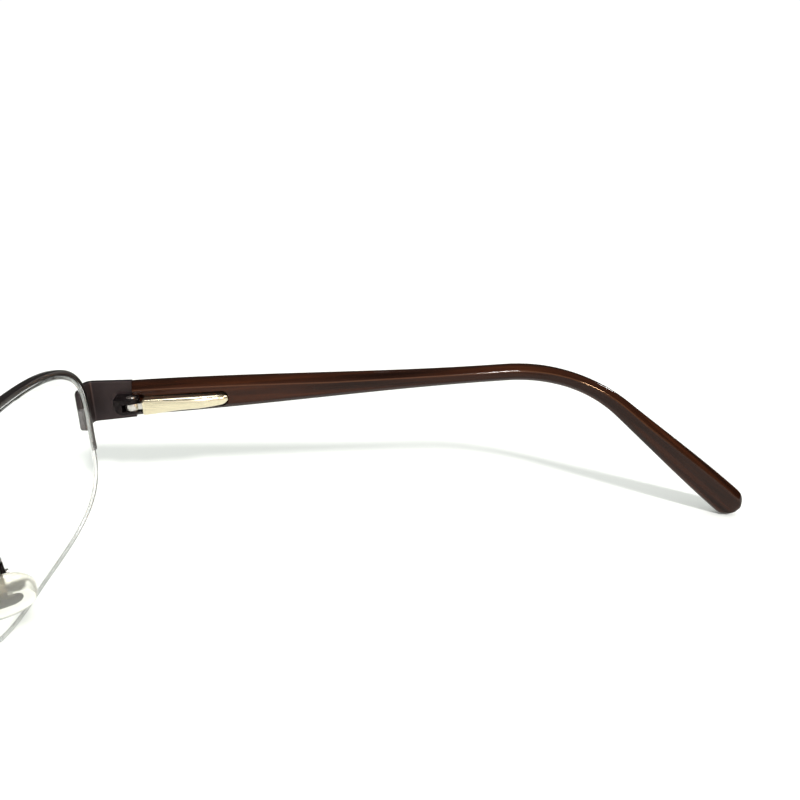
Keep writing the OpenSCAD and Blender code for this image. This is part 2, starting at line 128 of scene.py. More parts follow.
def joint(name):
    return next(j for j in frame["joints"] if j["name"] == name)


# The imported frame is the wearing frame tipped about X, so the fold axis and hinge place give the move
fold = joint("left_temple_fold")
TILT = math.atan2(-fold["axis"][1], fold["axis"][2])
WEAR = (Matrix.Translation(Vector(fold["pos_m"])) @ Matrix.Rotation(TILT, 4, "X")
        @ Matrix.Translation(-HINGE * MM))


def place(point, side=1):
    return WEAR @ (Vector((point[0] * side, point[1], point[2])) * MM)


# ---------- formulas of the outline and the temple ----------


def edge_point(deg):
    """The lens outline in its own plane, at an angle from the temple side over the top."""
    a = math.radians(deg)
    c, s = math.cos(a), math.sin(a)
    power = POWERS[int(deg % 360 // 90)]
    height = LENS_H / 2 + (LENS_DROP if s >= 0 else -LENS_DROP)
    reach = ((abs(c) / (LENS_W / 2)) ** power + (abs(s) / height) ** power) ** (-1 / power)
    return Vector((reach * c, reach * s - LENS_DROP))


def edge_at(deg, out):
    """The outline moved outwards."""
    along = (edge_point(deg + 0.5) - edge_point(deg - 0.5)).normalized()
    return edge_point(deg) + out * Vector((along.y, -along.x))


def behind_front(p, depth):
    """A point of the lens plane, taken to a depth behind the lens's front surface."""
    y = LENS_RADIUS - math.sqrt((LENS_RADIUS - depth) ** 2 - p.x * p.x - p.y * p.y)
    c, s = math.cos(WRAP), math.sin(WRAP)
    return Vector((LENS_GAP / 2 + LENS_W / 2 + p.x * c - y * s, p.x * s + y * c, p.y))


def ease(t):
    k = min(max(t, 0), 1)
    return k * k * (3 - 2 * k)


def temple_height(s):
    return (WAIST_H + (TEMPLE_H - WAIST_H) * (1 - ease(s / TAPER_END))
            + (TIP_H - WAIST_H) * ease((s - FLARE_START) / (TIP_S - FLARE_START)))


def temple_heading(s):
    return BEND_A * min(max((s - BEND_START) / BEND_L, 0), 1)


def temple_point(s):
    h = temple_heading(s)
    past = max(s - BEND_START - BEND_L, 0)
    return Vector((HINGE.y + min(s, BEND_START) + BEND_R * math.sin(h) + past * math.cos(h),
                   TEMPLE_Z - BEND_R * (1 - math.cos(h)) - past * math.sin(h)))


def temple_place(s, x, up, ahead=0.0):
    """A point beside the temple's middle line at s: across it, above it and ahead of it."""
    h, c = temple_heading(s), temple_point(s)
    return Vector((x, c.x + ahead * math.cos(h) + up * math.sin(h),
                   c.y - ahead * math.sin(h) + up * math.cos(h)))


def temple_along(y, z):
    """Distance along the temple's middle line and height above it, for a point of its side view."""
    drop = Vector((y - HINGE.y - BEND_START, z - TEMPLE_Z + BEND_R))
    heading = min(max(math.atan2(drop.x, drop.y), 0), BEND_A)
    past = drop.x * math.cos(heading) - drop.y * math.sin(heading)
    off = drop.x * math.sin(heading) + drop.y * math.cos(heading) - BEND_R
    return BEND_START + BEND_R * heading + past, off


def spaced(a, b, n):
    return [a + (b - a) * i / n for i in range(n + 1)]


# ---------- mesh helpers ----------


def raw_mesh(name, verts, faces, side):
    """A bare mesh from wearing frame points, mirrored for the right side."""
    mesh = bpy.data.meshes.new(name)
    mesh.from_pydata([place(v, side) for v in verts], [], faces)
    tidy_normals(mesh)
    obj = bpy.data.objects.new(name, mesh)
    bpy.context.scene.collection.objects.link(obj)
    return obj


def new_piece(name, verts, faces, side, body, material, smooth=40):
    """A finished piece from wearing frame points."""
    obj = raw_mesh(name, verts, faces, side)
    finish_piece(obj, body, material, smooth)
    return obj


def tidy_normals(mesh):
    """Joins points that fall together and turns every face outwards."""
    bm = bmesh.new()
    bm.from_mesh(mesh)
    bmesh.ops.remove_doubles(bm, verts=bm.verts, dist=0.002 * MM)
    bmesh.ops.recalc_face_normals(bm, faces=bm.faces)
    bm.to_mesh(mesh)
    bm.free()


def finish_piece(obj, body, material, smooth=40):
    """Gives a piece its material, shading and body."""
    obj.data.materials.clear()
    obj.data.materials.append(material)
    shade(obj, smooth)
    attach(obj, body)


def shade(obj, degrees):
    obj.data.shade_smooth()
    obj.data.set_sharp_from_angle(angle=math.radians(degrees))


def add_bevel(obj, width, segments=2):
    mod = obj.modifiers.new("edge", "BEVEL")
    mod.width = width * MM
    mod.segments = segments
    mod.limit_method = "ANGLE"
    mod.angle_limit = math.radians(35)
    mod.harden_normals = True
    return mod


def add_weld(obj):
    """Joins the face corners that the CAD file keeps apart, so that its edges can be bevelled."""
    mod = obj.modifiers.new("weld", "WELD")
    mod.merge_threshold = 0.0005 * MM


def apply_modifiers(obj):
    """Replaces the mesh with the one its modifiers make."""
    graph = bpy.context.evaluated_depsgraph_get()
    graph.update()
    mesh = bpy.data.meshes.new_from_object(obj.evaluated_get(graph))
    obj.modifiers.clear()
    old = obj.data
    obj.data = mesh
    bpy.data.meshes.remove(old)


def cut(obj, tool):
    """Takes the tool's shape out of the piece, then removes the tool."""
    mod = obj.modifiers.new("cut", "BOOLEAN")
    mod.operation = "DIFFERENCE"
    mod.solver = "EXACT"
    mod.object = tool
    apply_modifiers(obj)
    bpy.data.objects.remove(tool)


def loft(rings, closed_ends=True):
    """Joins rings of equally many points into a skin. Returns points and faces."""
    n = len(rings[0])
    verts = [p for ring in rings for p in ring]
    faces = []
    for a in range(0, len(verts) - n, n):
        b = a + n
        faces += [(a + j, a + (j + 1) % n, b + (j + 1) % n, b + j) for j in range(n)]
    if closed_ends:
        faces.append(tuple(range(n - 1, -1, -1)))
        faces.append(tuple(range(len(verts) - n, len(verts))))
    return verts, faces


def close_with_hubs(verts, faces, n, hubs):
    """Closes the first and last ring of a skin with a fan of triangles round a middle point."""
    last = len(verts) - n
    for hub, first in zip(hubs, (0, last)):
        verts.append(hub)
        faces.extend((len(verts) - 1, first + j, first + (j + 1) % n) for j in range(n))


def tube(path, radii, around, dome=0.0):
    """A round wire along a path, with one radius or one for each point; dome rounds its ends over."""
    if not isinstance(radii, list):
        radii = [radii] * len(path)
    tangents = []
    for i in range(len(path)):
        a, b = path[max(i - 1, 0)], path[min(i + 1, len(path) - 1)]
        tangents.append((b - a).normalized())
    up = Vector((0, 0, 1)) if abs(tangents[0].z) < 0.9 else Vector((1, 0, 0))
    normal = (up - tangents[0] * up.dot(tangents[0])).normalized()
    rings = []
    for p, t, r in zip(path, tangents, radii):
        normal = (normal - t * normal.dot(t)).normalized()
        side_way = t.cross(normal)
        rings.append([p + r * (math.cos(a) * normal + math.sin(a) * side_way)
                      for a in (2 * math.pi * k / around for k in range(around))])
    if dome:
        for end, tangent in ((0, -tangents[0]), (-1, tangents[-1])):
            caps = []
            for a in (math.radians(turn) for turn in (25, 50, 75)):
                caps.append([path[end] + (q - path[end]) * (1 - dome * (1 - math.cos(a)))
                             + tangent * dome * radii[end] * math.sin(a) for q in rings[end]])
            rings = caps[::-1] + rings if end == 0 else rings + caps
    return loft(rings)


def block(a, b):
    """A box between two corners."""
    verts = [(x, y, z) for x in (a[0], b[0]) for y in (a[1], b[1]) for z in (a[2], b[2])]
    faces = [(0, 1, 3, 2), (4, 6, 7, 5), (0, 4, 5, 1), (2, 3, 7, 6), (0, 2, 6, 4), (1, 5, 7, 3)]
    return verts, faces


def corner_arc(cx, cy, radius, start, steps=5):
    """A quarter circle about (cx, cy), counter-clockwise from an angle in degrees."""
    return [(cx + radius * math.cos(a), cy + radius * math.sin(a))
            for a in (math.radians(start + 90 * k / steps) for k in range(steps + 1))]


def rounded_rect(w0, w1, h0, h1, radius):
    """Corner-rounded rectangle from (w0, h0) to (w1, h1), counter-clockwise."""
    middles = ((w1 - radius, h1 - radius), (w0 + radius, h1 - radius),
               (w0 + radius, h0 + radius), (w1 - radius, h0 + radius))
    return [point for turn, (w, h) in enumerate(middles)
            for point in corner_arc(w, h, radius, 90 * turn, 3)]


def rounded_path(corners, radius, steps=10):
    """The corner points of a wire, each corner turned into a smooth bend."""
    path = [corners[0]]
    for before, at, after in zip(corners, corners[1:], corners[2:]):
        start = at + (before - at).normalized() * radius
        end = at + (after - at).normalized() * radius
        path += [start * (1 - t) ** 2 + at * 2 * t * (1 - t) + end * t * t
                 for t in (k / steps for k in range(steps + 1))]
    path.append(corners[-1])
    return path


# ---------- materials ----------

# The colour sockets of a Mix node, which shares its socket names between data types
MIX_COLOR_A, MIX_COLOR_B, MIX_COLOR_RESULT = 6, 7, 2


class Shader:
    """Short way to build a node material. Its Principled inputs are given by name, with _ for a space."""

    def __init__(self, name, **inputs):
        self.material = bpy.data.materials.new(name)
        self.material.use_nodes = True
        self.nodes = self.material.node_tree.nodes
        self.links = self.material.node_tree.links
        self.bsdf = self.nodes["Principled BSDF"]
        self.out = self.nodes["Material Output"]
        for key, value in inputs.items():
            self.bsdf.inputs[key.replace("_", " ")].default_value = value

    def node(self, kind, **settings):
        made = self.nodes.new(kind)
        for key, value in settings.items():
            if hasattr(made, key):
                setattr(made, key, value)
            else:
                made.inputs[key.replace("_", " ")].default_value = value
        return made

    def link(self, a, b):
        self.links.new(a, b)

    def coords(self, scale, attribute):
        mapping = self.node("ShaderNodeMapping")
        mapping.inputs["Scale"].default_value = scale
        if attribute:
            source = self.node("ShaderNodeAttribute", attribute_name=attribute).outputs["Vector"]
        else:
            source = self.node("ShaderNodeTexCoord").outputs["Object"]
        self.link(source, mapping.inputs["Vector"])
        return mapping.outputs["Vector"]

    def noise(self, scale, detail=4, stretch=(1, 1, 1), attribute=None):
        made = self.node("ShaderNodeTexNoise", Scale=scale, Detail=detail)
        self.link(self.coords(stretch, attribute), made.inputs["Vector"])
        return made.outputs["Fac"]

    def ramp(self, source, stops):
        made = self.node("ShaderNodeValToRGB")
        ramp = made.color_ramp
        while len(ramp.elements) < len(stops):
            ramp.elements.new(0.5)
        for element, (at, color) in zip(ramp.elements, stops):
            element.position = at
            element.color = color
        self.link(source, made.inputs["Fac"])
        return made.outputs["Color"]

    def spread(self, source, low, high):
        made = self.node("ShaderNodeMapRange")
        made.inputs["To Min"].default_value = low
        made.inputs["To Max"].default_value = high
        self.link(source, made.inputs["Value"])
        return made.outputs["Result"]

    def bump(self, source, strength, distance):
        made = self.node("ShaderNodeBump", Strength=strength, Distance=distance)
        self.link(source, made.inputs["Height"])
        self.link(made.outputs["Normal"], self.bsdf.inputs["Normal"])


def satin_metal(name, dark, light, rough_low, rough_high):
    """Plated metal: fine grain, uneven sheen and cloudy patches of a lighter tone."""
    m = Shader(name, Metallic=0.85)
    patch = m.noise(160, 5)
    m.link(m.ramp(patch, [(0.3, (*dark, 1)), (0.75, (*light, 1))]), m.bsdf.inputs["Base Color"])
    fine = m.noise(3600, 3)
    m.link(m.spread(fine, rough_low, rough_high), m.bsdf.inputs["Roughness"])
    m.bump(fine, 0.12, 0.00003)
    return m.material


def brushed_metal(name, color, rough, attribute=None):
    """Turned or drawn metal with fine lines along it."""
    m = Shader(name, Metallic=1.0)
    lines = m.noise(5200, 3, (1, 0.06, 1), attribute)
    dim = tuple(c * 0.8 for c in color)
    m.link(m.ramp(lines, [(0.25, (*dim, 1)), (0.7, (*color, 1))]), m.bsdf.inputs["Base Color"])
    m.link(m.spread(lines, rough * 0.75, rough * 1.3), m.bsdf.inputs["Roughness"])
    m.bump(lines, 0.15, 0.00002)
    return m.material


def see_through(m, shadow):
    """Lets light pass a clear piece to what lies behind it, dimmed to the given colour."""
    path = m.node("ShaderNodeLightPath")
    either = m.node("ShaderNodeMath", operation="MAXIMUM")
    m.link(path.outputs["Is Shadow Ray"], either.inputs[0])
    m.link(path.outputs["Is Diffuse Ray"], either.inputs[1])
    clear = m.node("ShaderNodeBsdfTransparent", Color=shadow)
    mix = m.node("ShaderNodeMixShader")
    m.link(either.outputs[0], mix.inputs["Fac"])
    m.link(m.bsdf.outputs["BSDF"], mix.inputs[1])
    m.link(clear.outputs["BSDF"], mix.inputs[2])
    m.link(mix.outputs["Shader"], m.out.inputs["Surface"])


def clear_lens():
    m = Shader("lens_clear", Base_Color=(0.985, 0.992, 0.99, 1), IOR=1.5, Transmission_Weight=1)
    m.link(m.spread(m.noise(90, 3), 0.0, 0.003), m.bsdf.inputs["Roughness"])
    see_through(m, (0.985, 0.99, 0.985, 1))
    return m.material


def lens_edge():
    """The lens's ground edge: frosted, with faint lines from the edging wheel."""
    m = Shader("lens_edge_ground", IOR=1.5, Transmission_Weight=1)
    lines = m.noise(2600, 3, (0.3, 0.3, 1))
    m.link(m.ramp(lines, [(0.3, (0.8, 0.81, 0.81, 1)), (0.7, (0.9, 0.905, 0.9, 1))]),
           m.bsdf.inputs["Base Color"])
    m.link(m.spread(lines, 0.08, 0.2), m.bsdf.inputs["Roughness"])
    m.bump(lines, 0.1, 0.00002)
    see_through(m, (0.88, 0.89, 0.88, 1))
    return m.material


def clear_nylon():
    m = Shader("nylon_clear", Base_Color=(0.9, 0.91, 0.9, 1), IOR=1.46, Transmission_Weight=0.8)
    m.link(m.spread(m.noise(3000, 2), 0.12, 0.3), m.bsdf.inputs["Roughness"])
    see_through(m, (0.8, 0.8, 0.79, 1))
    return m.material


def temple_plastic():
    """Dark translucent brown, streaked lengthwise, under a polished skin, with a painted highlight along
    the ridge of the inner face.
    """
    m = Shader("temple_brown", IOR=1.47, Specular_IOR_Level=0.1, Transmission_Weight=0.12,
               Coat_Weight=0.1, Coat_Roughness=0.04)
    streak = m.noise(620, 5, (1.4, 0.05, 1.0), "along")
    tint = m.ramp(streak, [(0.3, (0.008, 0.0028, 0.0015, 1)), (0.45, (0.018, 0.0058, 0.0028, 1)),
                           (0.6, (0.032, 0.0095, 0.004, 1)), (0.78, (0.06, 0.017, 0.006, 1))])
    # painted highlight: where the ridge of the inner face is marked, the brown is mixed towards a lighter
    # brown that stands in for a glint along that edge
    painted_highlight_mix = m.node("ShaderNodeMix", data_type="RGBA")
    painted_ridge_highlight = m.node("ShaderNodeAttribute", attribute_name="painted_ridge_highlight").outputs["Fac"]
    m.link(m.spread(painted_ridge_highlight, 0.0, 0.6), painted_highlight_mix.inputs["Factor"])
    m.link(tint, painted_highlight_mix.inputs[MIX_COLOR_A])
    painted_highlight_mix.inputs[MIX_COLOR_B].default_value = (0.12, 0.05, 0.024, 1)
    m.link(painted_highlight_mix.outputs[MIX_COLOR_RESULT], m.bsdf.inputs["Base Color"])
    m.link(m.spread(m.noise(260, 4), 0.05, 0.13), m.bsdf.inputs["Roughness"])
    m.bump(m.noise(700, 2), 0.05, 0.00004)
    return m.material


def pad_silicone():
    m = Shader("pad_silicone", IOR=1.38, Transmission_Weight=0.9, Subsurface_Weight=0.1,
               Subsurface_Radius=(0.003, 0.003, 0.002))
    m.link(m.ramp(m.noise(300, 3), [(0.3, (0.96, 0.94, 0.82, 1)), (0.7, (0.99, 0.98, 0.92, 1))]),
           m.bsdf.inputs["Base Color"])
    m.link(m.spread(m.noise(900, 3), 0.06, 0.16), m.bsdf.inputs["Roughness"])
    m.bump(m.noise(1500, 2), 0.05, 0.00003)
    see_through(m, (0.93, 0.925, 0.88, 1))
    return m.material


RIM_METAL = satin_metal("rim_gunmetal", (0.045, 0.038, 0.037), (0.085, 0.075, 0.072), 0.24, 0.36)
END_METAL = satin_metal("end_piece_gunmetal", (0.036, 0.027, 0.028), (0.052, 0.04, 0.041), 0.42, 0.56)
HINGE_METAL = satin_metal("hinge_dark", (0.007, 0.0055, 0.006), (0.018, 0.014, 0.014), 0.26, 0.38)
STEEL = brushed_metal("steel", (0.66, 0.64, 0.6), 0.28)
BRASS = brushed_metal("brass", (0.72, 0.52, 0.24), 0.3)
CASING_METAL = brushed_metal("casing_gold", (0.8, 0.72, 0.52), 0.24)
INSERT = satin_metal("pad_insert", (0.022, 0.021, 0.015), (0.045, 0.043, 0.034), 0.35, 0.5)
CORE_METAL = brushed_metal("core_wire", (0.78, 0.6, 0.44), 0.3, "along")
LENS = clear_lens()
LENS_EDGE = lens_edge()
NYLON = clear_nylon()
TEMPLE = temple_plastic()
SILICONE = pad_silicone()


# ---------- front ----------


def build_lens(name, side):
    """Meniscus with polished edge bevels and the cord's groove round its edge."""
    steps, chamfer = 240, 0.12
    angles = spaced(0, 360, steps)[:-1]
    edge_profile = [(-chamfer, 0.0), (0.0, chamfer), (0.0, GROOVE[0]), (-0.32, 0.56), (-0.46, 0.7),
                    (-0.5, 0.8), (-0.46, 0.9), (-0.32, 1.04), (0.0, GROOVE[1]),
                    (0.0, LENS_T - chamfer), (-chamfer, LENS_T)]
    fractions = [0.12, 0.3, 0.5, 0.68, 0.82, 0.92, 0.97]
    rings = [[behind_front(edge_point(a) * k, 0.0) for a in angles] for k in fractions]
    rings += [[behind_front(edge_at(a, out), depth) for a in angles] for out, depth in edge_profile]
    rings += [[behind_front(edge_point(a) * k, LENS_T) for a in angles] for k in reversed(fractions)]
    verts, faces = loft(rings, closed_ends=False)
    middle = Vector((0, 0))
    close_with_hubs(verts, faces, steps, (behind_front(middle, 0.0), behind_front(middle, LENS_T)))
    obj = new_piece(name + "_lens_clear", verts, faces, side, "root", LENS, 30)
    obj.data.materials.append(LENS_EDGE)
    edge_start = len(fractions) * steps
    for face in obj.data.polygons[edge_start:edge_start + (len(edge_profile) - 1) * steps]:
        face.material_index = 1
    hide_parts(name + "_lens")


def build_eyewire(name, side):
    """Grooved rim wire over the top of the lens, its ends rounded over."""
    inner, soft, crisp = 0.02, 0.34, 0.2
    section = corner_arc(RIM_W - soft, RIM_BACK - soft, soft, 0)
    section += corner_arc(inner + crisp, RIM_BACK - crisp, crisp, 90)
    section += [(inner, 1.16), (0.1, 1.1), (0.42, 1.08), (0.5, 0.98), (0.5, 0.62), (0.42, 0.52),
                (0.1, 0.5), (inner, 0.44)]
    section += corner_arc(inner + crisp, RIM_FRONT + crisp, crisp, 180)
    section += corner_arc(RIM_W - soft, RIM_FRONT + soft, soft, 270)
    middle = ((inner + RIM_W) / 2, (RIM_FRONT + RIM_BACK) / 2)
    end_scale = {0: 0.78, 1: 0.94}
    angles = [RIM_START, RIM_START + 0.35] + spaced(RIM_START, RIM_END, 170)[1:-1]
    angles += [RIM_END - 0.35, RIM_END]
    rings = []
    for i, a in enumerate(angles):
        k = end_scale.get(min(i, len(angles) - 1 - i), 1.0)
        rings.append([behind_front(edge_at(a, middle[0] + (w - middle[0]) * k),
                                   middle[1] + (d - middle[1]) * k) for w, d in section])
    verts, faces = loft(rings)
    obj = new_piece(name + "_eyewire_satin", verts, faces, side, "root", RIM_METAL, 50)
    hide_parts(name + "_eyewire")


def build_cord(name, side):
    """Round nylon cord in the lens groove, its ends tucked into the rim."""
    sunk, tucked = 0.2, 3
    angles = spaced(RIM_END - tucked, 360 + RIM_START + tucked, 150)
    path = [behind_front(edge_at(a, -sunk), sum(GROOVE) / 2) for a in angles]
    verts, faces = tube(path, CORD_R, 14, dome=0.6)
    obj = new_piece(name + "_cord_round", verts, faces, side, "root", NYLON)
    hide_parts(name + "_lens_cord")


def bridge_end():
    """The middle of the rim wire's nose side, about as high as the bridge's ends."""
    reach = edge_point(155) + Vector((0, LENS_DROP))
    deg = 180 - math.degrees(math.asin((BRIDGE_Z + LENS_DROP) / reach.length))
    return behind_front(edge_at(deg, 0.7 * RIM_W), (RIM_FRONT + RIM_BACK) / 2)


def build_bridge():
    """Arched bar, leaning forward, swelling into solder at each rim."""
    end = bridge_end()
    arch = (end.x ** 2 + BRIDGE_RISE ** 2) / (2 * BRIDGE_RISE)
    half = math.asin(end.x / arch)
    swell, swell_start = 0.16, 0.88
    path, radii = [], []
    for t in spaced(-1, 1, 60):
        up = arch * math.cos(t * half) - arch + BRIDGE_RISE
        path.append(Vector((arch * math.sin(t * half), end.y - up * math.sin(BRIDGE_LEAN),
                            BRIDGE_Z + up * math.cos(BRIDGE_LEAN))))
        radii.append(BRIDGE_R + swell * max(0.0, (abs(t) - swell_start) / (1 - swell_start)) ** 2)
    verts, faces = tube(path, radii, 24)
    obj = new_piece("bridge_bar", verts, faces, 1, "root", RIM_METAL, 50)
    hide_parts("bridge")


# ---------- end piece and hinge ----------


def build_end_piece(name, side):
    """Flat strap from the rim's front, round the corner, to the hinge."""
    corner, edge, trim = 0.7, 0.18, 0.08
    centre = Vector((PLATE_X - PLATE_BEND_IN, PLATE_BEND_Y))
    along = Vector((math.cos(PLATE_LEG_TILT), math.sin(PLATE_LEG_TILT)))
    outward = Vector((along.y, -along.x))
    stations = [(centre + (s - PLATE_LEG_L) * along, outward, s)
                for s in (0, 0.035, 0.09, 0.2, 0.35, 0.52, corner, 1.5, 2.4, 3.3, 4.1)]
    stations += [(centre, Vector((math.cos(a), math.sin(a))), PLATE_LEG_L)
                 for a in spaced(PLATE_LEG_TILT - math.pi / 2, 0, 16)]
    stations += [(Vector((centre.x, y)), Vector((1, 0)), PLATE_LEG_L)
                 for y in (8.2, 10.0, 12.0, HINGE.y - trim, HINGE.y)]
    rings = []
    for i, (base, normal, s) in enumerate(stations):
        narrowing = max(base.y - centre.y, 0) / (HINGE.y - centre.y)
        tall = (PLATE_FRONT_H + (PLATE_H - PLATE_FRONT_H) * narrowing) / 2
        if s < corner:
            tall += math.sqrt(max(corner ** 2 - (corner - s) ** 2, 0.0)) - corner
        less = trim if i in (0, len(stations) - 1) else 0.0
        section = rounded_rect(PLATE_BEND_IN + less, PLATE_BEND_IN + PLATE_T - less,
                               less - tall, tall - less, edge)
        rings.append([Vector((*(base + normal * w), PLATE_Z + z)) for w, z in section])
    verts, faces = loft(rings)
    obj = new_piece(name + "_end_strap", verts, faces, side, "root", END_METAL, 45)
    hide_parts(name + "_end_piece")


def build_casing(name, side):
    """Spring casing: a bar with a flat golden nose, tapering into the temple at its tail."""
    length = CASING_END - CASING_FRONT
    tail_start, drop_start, crisp = 9.5, 13.8, 0.12
    out = CASING_OUT - crisp
    rings = []
    for i, s in enumerate([0, 0.06, 0.2, 0.6, 2, 4, 6, 8, 10, 11.6, 12.6, 13.4, 14.1, 14.6, 14.95, length]):
        tail = ease((s - tail_start) / (length - tail_start))
        drop = max(0.0, (s - drop_start) / (length - drop_start))
        trim = (0.14, 0.05, 0.0)[min(i, 2)]
        top = CASING_H / 2 - 0.2 * s / 12.1 - 0.2 * tail - 0.45 * drop ** 2
        low = CASING_H / 2 - 0.36 * ease(s / 8) - 0.14 * tail - 0.5 * drop ** 2
        inner = CASING_IN + 0.05 * s / 10 + 1.15 * tail + 0.9 * drop ** 2 + trim
        round_top = min(0.5 + 0.5 * ease(s / 9), 0.8 * top)
        round_low = min(0.4 + 0.55 * ease(s / 8), 0.8 * low)
        section = corner_arc(out, top - trim - crisp, crisp, 0, 6)
        section += corner_arc(inner + round_top, top - trim - round_top, round_top, 90, 6)
        section += corner_arc(inner + round_low, round_low - low + trim, round_low, 180, 6)
        section += corner_arc(out, crisp - low + trim, crisp, 270, 6)
        rings.append([Vector((x, CASING_FRONT + s, HINGE.z + z)) for x, z in section])
    obj = raw_mesh(name + "_casing_shell", *loft(rings), side)
    bore = tube([Vector((HINGE.x, y, HINGE.z)) for y in BORE], BORE_R, 32)
    cut(obj, raw_mesh("bore", *bore, side))
    slot_half = Vector((0.72, 0, 0.62))
    slot = block(Vector((HINGE.x, CASING_FRONT - 1, HINGE.z)) - slot_half,
                 Vector((HINGE.x, BORE[0] + 0.35, HINGE.z)) + slot_half)
    cut(obj, raw_mesh("slot", *slot, side))
    finish_piece(obj, name + "_temple", CASING_METAL, 35)
    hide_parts(name + "_spring_casing")


# ---------- temple ----------


def mark_along(obj, side):
    """Gives each point its place along the temple, and marks the ridge of the inner face for a painted
    highlight that fades towards the tip.
    """
    fade_start, fade_l, faded = 92, 28, 0.15
    back = WEAR.inverted()
    values, painted_ridge_highlight = [], []
    for vertex in obj.data.vertices:
        p = back @ vertex.co / MM
        s, off = temple_along(p.y, p.z)
        values += [p.x * side * MM, s * MM, off * MM]
        ridge_z = temple_height(s) / 2 - bevel_depth(temple_height(s))
        # painted highlight strength: full on the inner face's ridge line, fading to a little towards the
        # tip, none elsewhere
        near = abs(off - ridge_z) < 0.1 and abs(p.x * side - TEMPLE_IN) < 0.12
        painted_ridge_highlight.append(1 - (1 - faded) * ease((s - fade_start) / fade_l) if near else 0.0)
    along = obj.data.attributes.new("along", "FLOAT_VECTOR", "POINT")
    along.data.foreach_set("vector", values)
    obj.data.attributes.new("painted_ridge_highlight", "FLOAT", "POINT").data.foreach_set("value", painted_ridge_highlight)


def bevel_depth(height):
    """How far the upper bevel of the inner face reaches down."""
    return min(1.5, 0.33 * height)


def temple_section(height, soft, shrink=0.0):
    """Section of the temple: flat faces with bevelled, softly rounded long edges."""
    top_z = bevel_depth(height)
    low_z = min(0.9, 0.24 * height)
    inner, outer = TEMPLE_IN + shrink, TEMPLE_OUT - shrink
    half = height / 2 - shrink
    corners = [(outer, half - 0.75 * top_z), (outer - 0.55, half - 0.1), (outer - 1.0, half),
               (inner + 0.95, half), (inner, half - top_z),
               (inner, -half + low_z), (inner + 0.8, -half), (outer - 0.9, -half),
               (outer, -half + 0.8 * low_z)]
    corners = [Vector(at) for at in corners]
    pts = []
    for before, here, after in zip(corners[-1:] + corners, corners, corners[1:] + corners[:1]):
        a = here + (before - here).normalized() * soft
        b = here + (after - here).normalized() * soft
        pts += [a, a * 0.25 + here * 0.5 + b * 0.25, b]
    return pts


def edge_softness(s):
    """How far the section's corners are rounded, more towards the tip."""
    return 0.2 + 0.28 * ease((s - FLARE_START) / (TIP_S - FLARE_START))


def build_temple(name, side):
    """One moulded plastic arm: deep at the hinge, slim at the ear, broad at the tip."""
    rings = []
    for i, s in enumerate([0.1, 0.16, 0.3] + spaced(2, BEND_START, 28) + spaced(BEND_START, TIP_S, 56)[1:]):
        section = temple_section(temple_height(s), edge_softness(s), (0.1, 0.03, 0.0)[min(i, 2)])
        rings.append([temple_place(s, p.x, p.y) for p in section])
    # the tip's end is half round in side view, leaning a little forward at its top, and thins out
    skew, middle = 0.16, TEMPLE_IN + TEMPLE_T / 2
    for turn in (8, 16, 24, 32, 40, 48, 56, 63, 70, 76, 81, 85, 88):
        c, t = math.cos(math.radians(turn)), math.sin(math.radians(turn))
        thin = 0.5 * (1 - c) ** 2
        rings.append([temple_place(TIP_S, middle + (p.x - middle) * (1 - thin), p.y * c,
                                   TIP_H / 2 * t + skew * p.y * c * t)
                      for p in temple_section(TIP_H, edge_softness(TIP_S))])
    obj = raw_mesh(name + "_temple_arm", *loft(rings), side)
    cut(obj, raw_mesh("pocket", *pocket_shape(), side))
    finish_piece(obj, name + "_temple", TEMPLE, 28)
    mark_along(obj, side)
    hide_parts(name + "_temple")


def pocket_shape():
    """Recess for the casing, round at its far end, opening upwards where the hinge barrel turns."""
    half, top, front, reach = 1.52, 6.25, 11.0, 1.2
    low, high = HINGE.z - half, HINGE.z + half
    round_y, step_y = CASING_END + 0.15 - reach, CASING_FRONT + 0.1
    side_view = [(front, low), (round_y, low)]
    side_view += [(round_y + reach * math.sin(a), HINGE.z - half * math.cos(a))
                  for a in spaced(0, math.pi, 12)[1:-1]]
    side_view += [(round_y, high), (step_y, high), (step_y, top), (front, top)]
    rings = [[Vector((x, y, z)) for y, z in side_view] for x in (TEMPLE_IN - 1, CASING_OUT + 0.02)]
    return loft(rings)


def build_core_wire(name, side):
    """Flattened wire inside the plastic, tapering towards the tip."""
    start, end = 2.4, TEMPLE_L - 12.5
    rows = [start, start + 0.1] + spaced(start + 1.5, end - 1, 90) + [end - 0.4, end]
    rings = []
    for i, s in enumerate(rows):
        k = (0.8, 0.96, 1.0)[min(i, 2)] * (0.5, 0.85, 1.0)[min(len(rows) - 1 - i, 2)]
        half = CORE_H / 2 * k * (1 - 0.35 * s / end)
        thick = CORE_T * k * (1 - 0.2 * s / end)
        section = rounded_rect(CORE_X, CORE_X + thick, -half, half, 0.4 * half)
        rings.append([temple_place(s, x, z) for x, z in section])
    verts, faces = loft(rings)
    obj = new_piece(name + "_core_ribbon", verts, faces, side, name + "_temple",
                    CORE_METAL, 45)
    mark_along(obj, side)
    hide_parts(name + "_core_wire")


# ---------- nose pads ----------

PAD_OUT = Vector((math.cos(PAD_LEAN) * math.cos(PAD_SPREAD),
                  -math.cos(PAD_LEAN) * math.sin(PAD_SPREAD), math.sin(PAD_LEAN)))
PAD_TURN = Matrix.Rotation(-PAD_SPREAD, 3, "Z") @ Matrix.Rotation(-PAD_LEAN, 3, "Y")


def pad_to_wear(p):
    """From the pad's own frame, X towards its box and 0 at its back, to the wearing frame."""
    return PAD_MID + PAD_T / 2 * PAD_OUT + PAD_TURN @ Vector(p)


